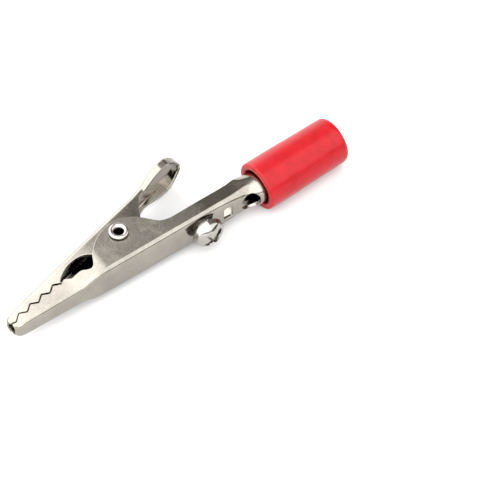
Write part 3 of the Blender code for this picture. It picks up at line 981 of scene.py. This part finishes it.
SHANK_LENGTH = 3.2
SHANK_RADIUS = 1.35
SHANK_SIDES = 48
SHANK_ROWS = 150
THREAD_PITCH = 0.5
THREAD_DEPTH = 0.24


def head_profile():
    """The head's profile as (radius, height) from its crown to its underside, and the length along it."""
    dome = (HEAD_RADIUS**2 + (HEAD_TOP - HEAD_SIDE) ** 2) / (2 * (HEAD_TOP - HEAD_SIDE))
    radius = np.linspace(0, HEAD_RADIUS, 60)
    crown = np.c_[radius, HEAD_TOP - dome + np.sqrt(dome**2 - radius**2)]
    smooth = rounded([*crown[::6], (HEAD_RADIUS, 0.0), (1.3, 0.0)], 0.16, 0.045)
    return smooth, length_along(smooth)


def recess_wall(beyond):
    """Height gained on the recess's steep wall at a distance beyond its floor."""
    return np.clip(beyond, 0, None) / 0.09 * 1.4


def recess_floor(x, y):
    """Height of the recess's floor: a cross with a wide middle, and a slot along one arm out to the rim."""

    def arm(along, across, reach, floor):
        beyond = np.maximum(np.abs(across) - ARM_HALF_WIDTH, np.abs(along) - reach)
        return floor + recess_wall(beyond)

    cone = HEAD_TOP - RECESS_DEPTH + np.hypot(x, y) * 0.24
    slot = arm(x, y, 9.0, np.maximum(cone, HEAD_TOP - SLOT_DEPTH))
    deep = arm(x, y, ARM_REACH, cone)
    other = arm(y, x, ARM_REACH, cone)
    middle = recess_wall(np.abs(x) + np.abs(y) - 0.85) + cone
    return np.minimum(np.minimum(slot, deep), np.minimum(other, middle))


def screw_head():
    """The head's points and triangles. Its grid is finer where the recess has its walls."""
    smooth, along = head_profile()
    walls = np.array((0.28, 0.33, 0.36, 0.42, 1.35, 1.39, 1.44))
    lines = np.unique(np.round(np.r_[np.arange(-3.9, 3.95, 0.11), walls, -walls], 3))
    points, triangles = fill([circle((0, 0), along[-1], 120)], grid_over(lines, lines))
    distance = np.hypot(points[:, 0], points[:, 1])
    angle = np.arctan2(points[:, 1], points[:, 0])
    radius = np.interp(distance, along, smooth[:, 0])
    height = np.interp(distance, along, smooth[:, 1])
    x, y = radius * np.cos(angle), radius * np.sin(angle)
    height = np.where(height > 0.12, np.minimum(height, recess_floor(x, y)), height)
    turn_x = x * math.cos(RECESS_TURN) - y * math.sin(RECESS_TURN)
    turn_z = x * math.sin(RECESS_TURN) + y * math.cos(RECESS_TURN)
    return np.c_[SCREW_X + turn_x, -HEAD_LIFT - height, turn_z], triangles


def thread_radius(down, side):
    """The shank's radius below the head: a groove that fades in, and a short taper at the tip."""
    phase = (down / THREAD_PITCH + side / SHANK_SIDES) % 1.0
    groove = THREAD_DEPTH * (0.5 + 0.5 * math.cos(2 * math.pi * phase))
    fade = min(1.0, max(0.0, (down - 0.15) / 0.3))
    taper = max(0.0, down - (SHANK_LENGTH - 0.35)) * 0.9
    return min(SHANK_RADIUS - groove * fade, SHANK_RADIUS - taper)


def build_screw(surface):
    head, triangles = screw_head()
    faces = [tuple(f) for f in triangles]
    spiral = []
    for row in range(SHANK_ROWS + 1):
        down = SHANK_LENGTH * row / SHANK_ROWS
        for side in range(SHANK_SIDES):
            angle = 2 * math.pi * side / SHANK_SIDES
            radius = thread_radius(down, side)
            x = SCREW_X + radius * math.cos(angle)
            spiral.append((x, -HEAD_LIFT + down, radius * math.sin(angle)))
    verts = np.vstack([head, spiral, [(SCREW_X, -HEAD_LIFT + SHANK_LENGTH, 0)]])
    for row in range(SHANK_ROWS):
        for a, b in neighbours(len(head) + row * SHANK_SIDES, SHANK_SIDES):
            faces.append((a, a + SHANK_SIDES, b + SHANK_SIDES, b))
    last = len(head) + SHANK_ROWS * SHANK_SIDES
    faces += [(a, len(verts) - 1, b) for a, b in neighbours(last, SHANK_SIDES)]
    obj = make_object("screw_with_recess", verts, faces, None, surface)
    obj.data.set_sharp_from_angle(angle=math.radians(38))
    return obj


# Closing spring ----------------------------------------------------------------------------------

WIRE_RADIUS = 0.33
WIRE_SIDES = 14
COIL_RADIUS = 1.62
COIL_PITCH = 0.72
COIL_START = math.radians(-103)
COIL_END = math.radians(114 - 4 * 360)


def spring_path():
    """The wire's middle line: the leg on the lower web, the coil and the leg under the lever, all eased."""
    half = COIL_PITCH * abs(COIL_END - COIL_START) / (4 * math.pi)
    turn = np.linspace(0, 1, 200)
    angle = COIL_START + (COIL_END - COIL_START) * turn
    x = PIVOT[0] + COIL_RADIUS * np.cos(angle)
    y = PIVOT[1] + COIL_RADIUS * np.sin(angle)
    coil = np.c_[x, y, -half + 2 * half * turn]
    lower = [
        (29.8, 0.6, 0.3 - half),
        (28.2, 0.64, 0.25 - half),
        (26.4, 1.2, 0.1 - half),
        (24.0, 1.98, -half),
    ]
    upper = [
        (23.4, 7.0, half),
        (25.6, 7.95, half - 0.1),
        (27.2, 8.55, half - 0.3),
    ]
    path = np.vstack([lower, coil, upper])
    along = length_along(path)
    at = np.linspace(0, along[-1], 360)
    path = np.array([np.interp(at, along, path[:, k]) for k in range(3)]).T
    for _ in range(6):
        path[1:-1] = (path[:-2] + 2 * path[1:-1] + path[2:]) / 4
    return path


def build_spring(surface):
    path = spring_path()
    ahead = unit(np.gradient(path, axis=0))
    verts, normals = [], []
    normal = np.array((0.0, 0.0, 1.0))
    for point, way in zip(path, ahead):
        normal = unit(normal - way * normal.dot(way))
        other = np.cross(way, normal)
        for k in range(WIRE_SIDES):
            angle = 2 * math.pi * k / WIRE_SIDES
            out = normal * math.cos(angle) + other * math.sin(angle)
            verts.append(point + out * WIRE_RADIUS)
            normals.append(out)
    faces = []
    for row in range(len(path) - 1):
        for a, b in neighbours(row * WIRE_SIDES, WIRE_SIDES):
            faces.append((a, b, b + WIRE_SIDES, a + WIRE_SIDES))
    for row, out in ((0, -ahead[0]), (len(path) - 1, ahead[-1])):
        middle = len(verts)
        verts.append(path[row])
        normals.append(out)
        for a, b in neighbours(row * WIRE_SIDES, WIRE_SIDES):
            faces.append((b, a, middle) if row == 0 else (a, b, middle))
    return make_object("closing_spring", verts, faces, normals, surface)


# Stage -------------------------------------------------------------------------------------------

FLOOR_HALF_SIZE = 1.5


def area_light(name, place, target, size, power):
    data = bpy.data.lights.new(name, "AREA")
    data.shape = "RECTANGLE"
    data.size, data.size_y = size
    data.energy = power
    light = bpy.data.objects.new(name, data)
    bpy.context.scene.collection.objects.link(light)
    light.location = place
    aim(light, target)


def make_stage():
    bpy.context.scene.view_settings.view_transform = "Standard"
    mesh = bpy.data.meshes.new("floor")
    half = FLOOR_HALF_SIZE
    corners = [(-half, -half, 0), (half, -half, 0), (half, half, 0), (-half, half, 0)]
    mesh.from_pydata(corners, [], [(0, 1, 2, 3)])
    floor = bpy.data.objects.new("floor", mesh)
    bpy.context.scene.collection.objects.link(floor)
    made = Nodes("pale_floor")
    darker, lighter = (0.56, 0.56, 0.56), (0.58, 0.58, 0.58)
    made.feed("Base Color", made.ramp(made.noise(30.0), ((0.3, darker), (0.7, lighter))))
    made.feed("Roughness", 0.9)
    mesh.materials.append(made.material)

    make_surroundings()
    area_light("overhead", (-0.25, -0.28, 0.75), (0, 0, 0), (0.5, 0.5), 0.8)


def make_surroundings():
    """The studio seen in the metal, whose brightness depends only on the direction looked in."""
    world = bpy.data.worlds.new("studio")
    bpy.context.scene.world = world
    world.use_nodes = True
    tree = world.node_tree
    direction = put_node(tree, "ShaderNodeTexCoord").outputs["Generated"]
    x, y, z = put_node(tree, "ShaderNodeSeparateXYZ", {0: direction}).outputs

    def step(source, low, high, start, end):
        values = {"Value": source, "From Min": start, "From Max": end, "To Min": low, "To Max": high}
        node = put_node(tree, "ShaderNodeMapRange", values, interpolation_type="SMOOTHSTEP")
        return node.outputs["Result"]

    def combine(operation, a, b):
        return put_node(tree, "ShaderNodeMath", {0: a, 1: b}, operation=operation).outputs[0]

    # Bright from the nose's side to past the middle, high in front and low behind. The rest is dark.
    side = step(x, 3.6, 0.3, 0.25, 0.33)
    front = combine("MULTIPLY", step(y, 2.6, 0.0, -0.1, 0.25), step(z, 0.0, 1.0, 0.15, 0.3))
    back = combine("MULTIPLY", step(y, 0.0, 2.0, 0.3, 0.6), step(z, 1.0, 0.0, 0.25, 0.5))
    walls = combine("MAXIMUM", combine("MAXIMUM", side, front), back)

    # A darker strip, low in front.
    band = combine("SUBTRACT", step(z, 0.0, 1.0, 0.05, 0.08), step(z, 0.0, 1.0, 0.2, 0.26))
    strip = combine("MULTIPLY", band, step(y, 1.0, 0.0, -0.3, 0.0))
    dimmed = combine("MULTIPLY", walls, combine("SUBTRACT", 1.0, combine("MULTIPLY", strip, 0.8)))

    # Nothing below the horizon is darker than a white table.
    table = combine("MULTIPLY", step(z, 1.0, 0.0, 0.05, 0.07), 0.95)
    strength = combine("MAXIMUM", dimmed, table)

    # Dim directions are warmer than bright ones. Sockets 6 and 7 are the two colours that are mixed.
    warm, white = (1.0, 0.955, 0.88, 1.0), (1.0, 1.0, 1.0, 1.0)
    share = step(strength, 0.0, 1.0, 0.3, 1.0)
    tint = put_node(tree, "ShaderNodeMix", {"Factor": share, 6: warm, 7: white}, data_type="RGBA")
    background = tree.nodes["Background"]
    tree.links.new(tint.outputs[2], background.inputs["Color"])
    tree.links.new(strength, background.inputs["Strength"])


# Everything --------------------------------------------------------------------------------------

make_camera()
plate = nickel("nickel_plate", (0.335, 0.312, 0.272), 0.12, 0.1)
bright = nickel("bright_nickel", (0.40, 0.38, 0.355), 0.08, 0.05)
steel = spring_steel()
red = vinyl()

lower = build_lower_jaw(plate)
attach(lower, "clip")
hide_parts("lower_jaw")

upper = build_upper_jaw(plate)
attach(upper, "lever")
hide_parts("upper_jaw")

rivet = build_rivet(bright)
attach(rivet, "clip")
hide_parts("pivot_rivet")

screw = build_screw(bright)
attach(screw, "screw")
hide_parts("terminal_screw")

sleeve = build_sleeve(red)
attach(sleeve, "sleeve")
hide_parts("insulating_sleeve")

spring = build_spring(steel)
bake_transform(spring)
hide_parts("torsion_spring")

make_stage()
